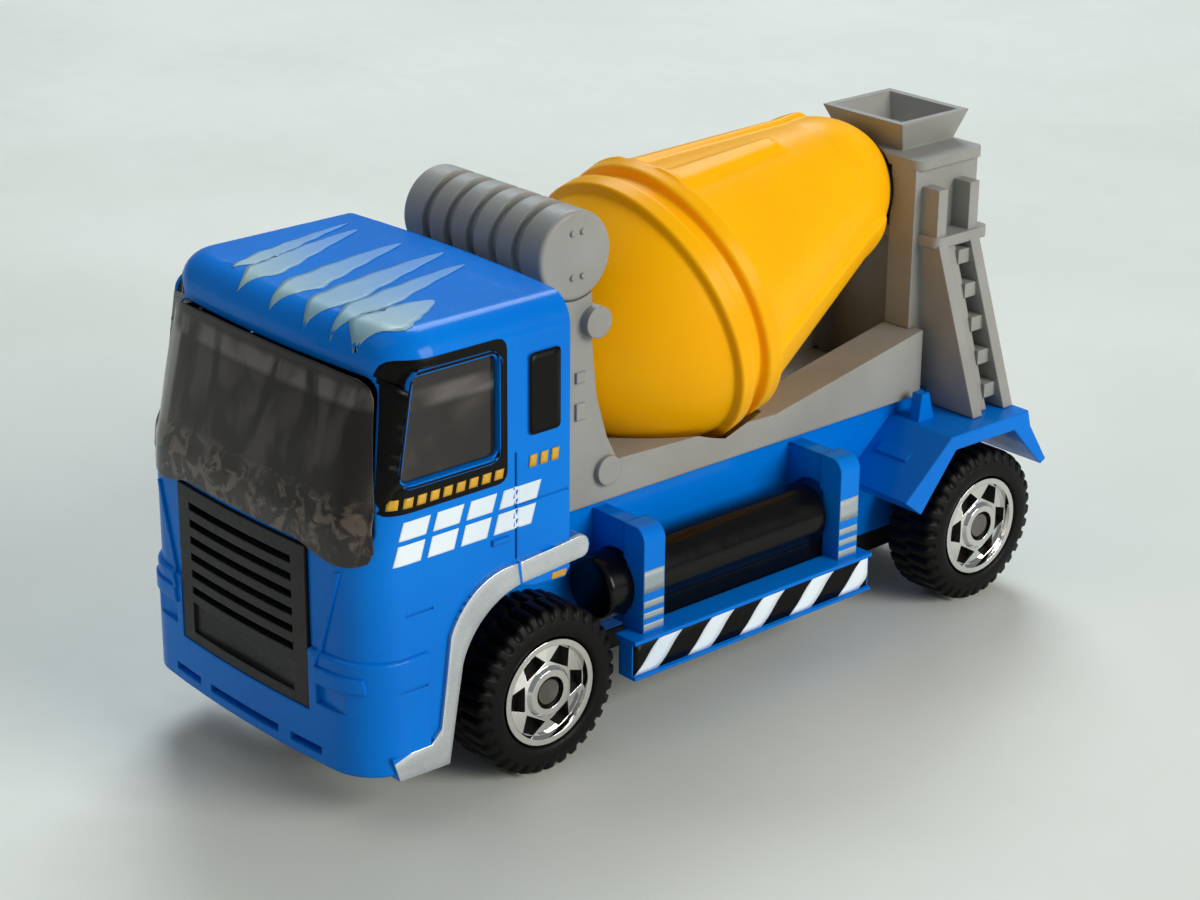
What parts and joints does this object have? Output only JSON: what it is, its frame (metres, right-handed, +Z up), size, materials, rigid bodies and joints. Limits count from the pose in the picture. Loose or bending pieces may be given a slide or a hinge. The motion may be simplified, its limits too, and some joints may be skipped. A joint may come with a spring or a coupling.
{
  "type": "toy cement mixer truck",
  "caption": "Pocket-size die-cast toy mixer truck: cab-over body, tilted drum turning on moulded journals, rear hopper tower with ladders, rolling wheels",
  "frame": {"origin": "on the ground under the middle of the truck", "axes": "the front of the truck faces -Y, its left side faces +X, +Z is up"},
  "size_m": [0.0278, 0.0716, 0.04],
  "materials": {
    "blue_enamel": "gloss royal blue enamel on a zinc casting",
    "black_plastic": "satin black moulded plastic",
    "gloss_black": "gloss black moulded plastic",
    "rivet_steel": "plain steel rivet",
    "axle_steel": "plain steel pin with pressed heads",
    "smoked_glazing": "clear smoke-tinted moulded styrene",
    "grey_plastic": "satin mid grey moulded plastic",
    "yellow_plastic": "orange-yellow moulded plastic, half gloss",
    "tyre_black": "hard black moulded wheel with a tread round its shoulder",
    "chrome_plating": "bright plated plastic rim"
  },
  "bodies": {
    "truck": {"body_casting": "blue_enamel", "base_plate": "black_plastic", "rivets": "rivet_steel", "side_tank_left": "gloss_black", "side_tank_right": "gloss_black", "front_grille": "black_plastic", "cab_glazing": "smoked_glazing", "cab_interior": "black_plastic", "mixer_bed": "grey_plastic", "water_tank": "grey_plastic", "rear_tower": "grey_plastic"},
    "drum": {"drum_front": "yellow_plastic", "drum_rear": "yellow_plastic"},
    "front_axle_pin": {"front_axle": "axle_steel"},
    "rear_axle_pin": {"rear_axle": "axle_steel"},
    "wheel_front_left": {"tyre_front_left": "tyre_black", "rim_front_left": "chrome_plating"},
    "wheel_front_right": {"tyre_front_right": "tyre_black", "rim_front_right": "chrome_plating"},
    "wheel_rear_left": {"tyre_rear_left": "tyre_black", "rim_rear_left": "chrome_plating"},
    "wheel_rear_right": {"tyre_rear_right": "tyre_black", "rim_rear_right": "chrome_plating"}
  },
  "joints": [
    {"name": "drum_spin", "type": "hinge", "parent": "truck", "child": "drum", "pos_m": [0, 0.0025, 0.02742], "axis": [0, 0.9527, 0.304], "continuous": true},
    {"name": "front_axle_spin", "type": "hinge", "parent": "truck", "child": "front_axle_pin", "pos_m": [0, -0.01835, 0.0065], "axis": [1, 0, 0], "continuous": true},
    {"name": "rear_axle_spin", "type": "hinge", "parent": "truck", "child": "rear_axle_pin", "pos_m": [0, 0.0284, 0.0065], "axis": [1, 0, 0], "continuous": true},
    {"name": "wheel_front_left_spin", "type": "hinge", "parent": "truck", "child": "wheel_front_left", "pos_m": [0.0114, -0.01835, 0.0065], "axis": [1, 0, 0], "continuous": true},
    {"name": "wheel_front_right_spin", "type": "hinge", "parent": "truck", "child": "wheel_front_right", "pos_m": [-0.0114, -0.01835, 0.0065], "axis": [1, 0, 0], "continuous": true},
    {"name": "wheel_rear_left_spin", "type": "hinge", "parent": "truck", "child": "wheel_rear_left", "pos_m": [0.0114, 0.0284, 0.0065], "axis": [1, 0, 0], "continuous": true},
    {"name": "wheel_rear_right_spin", "type": "hinge", "parent": "truck", "child": "wheel_rear_right", "pos_m": [-0.0114, 0.0284, 0.0065], "axis": [1, 0, 0], "continuous": true}
  ]
}
